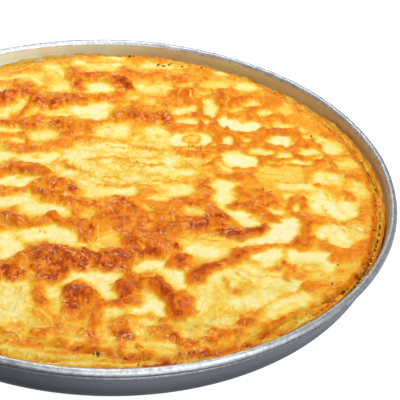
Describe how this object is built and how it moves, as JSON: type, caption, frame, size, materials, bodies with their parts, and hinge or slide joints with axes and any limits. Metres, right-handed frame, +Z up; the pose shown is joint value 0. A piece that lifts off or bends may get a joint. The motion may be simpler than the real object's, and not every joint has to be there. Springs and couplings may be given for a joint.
{
  "type": "water borek in its round pan",
  "caption": "Whole round layered pastry pie with a crumpled, browned top, baked in a shallow flared metal pan with a rolled rim.",
  "frame": {"origin": "centre of the pan's flat underside", "axes": "+Z up through the pan's middle, +X to the right of the picture's view, +Y away from its camera"},
  "size_m": [0.44, 0.44, 0.04],
  "materials": {
    "pan_metal": "spun sheet, satin outside, stained inside above the food",
    "pale_pastry": "soft baked pastry edge, golden",
    "cheese_and_parsley": "moist white cheese with chopped parsley",
    "browned_pastry": "cream plates between browned, buttery folds"
  },
  "bodies": {
    "root": {"pan": "pan_metal", "bottom_sheets": "pale_pastry", "filling": "cheese_and_parsley", "top_sheets": "browned_pastry"}
  },
  "joints": []
}
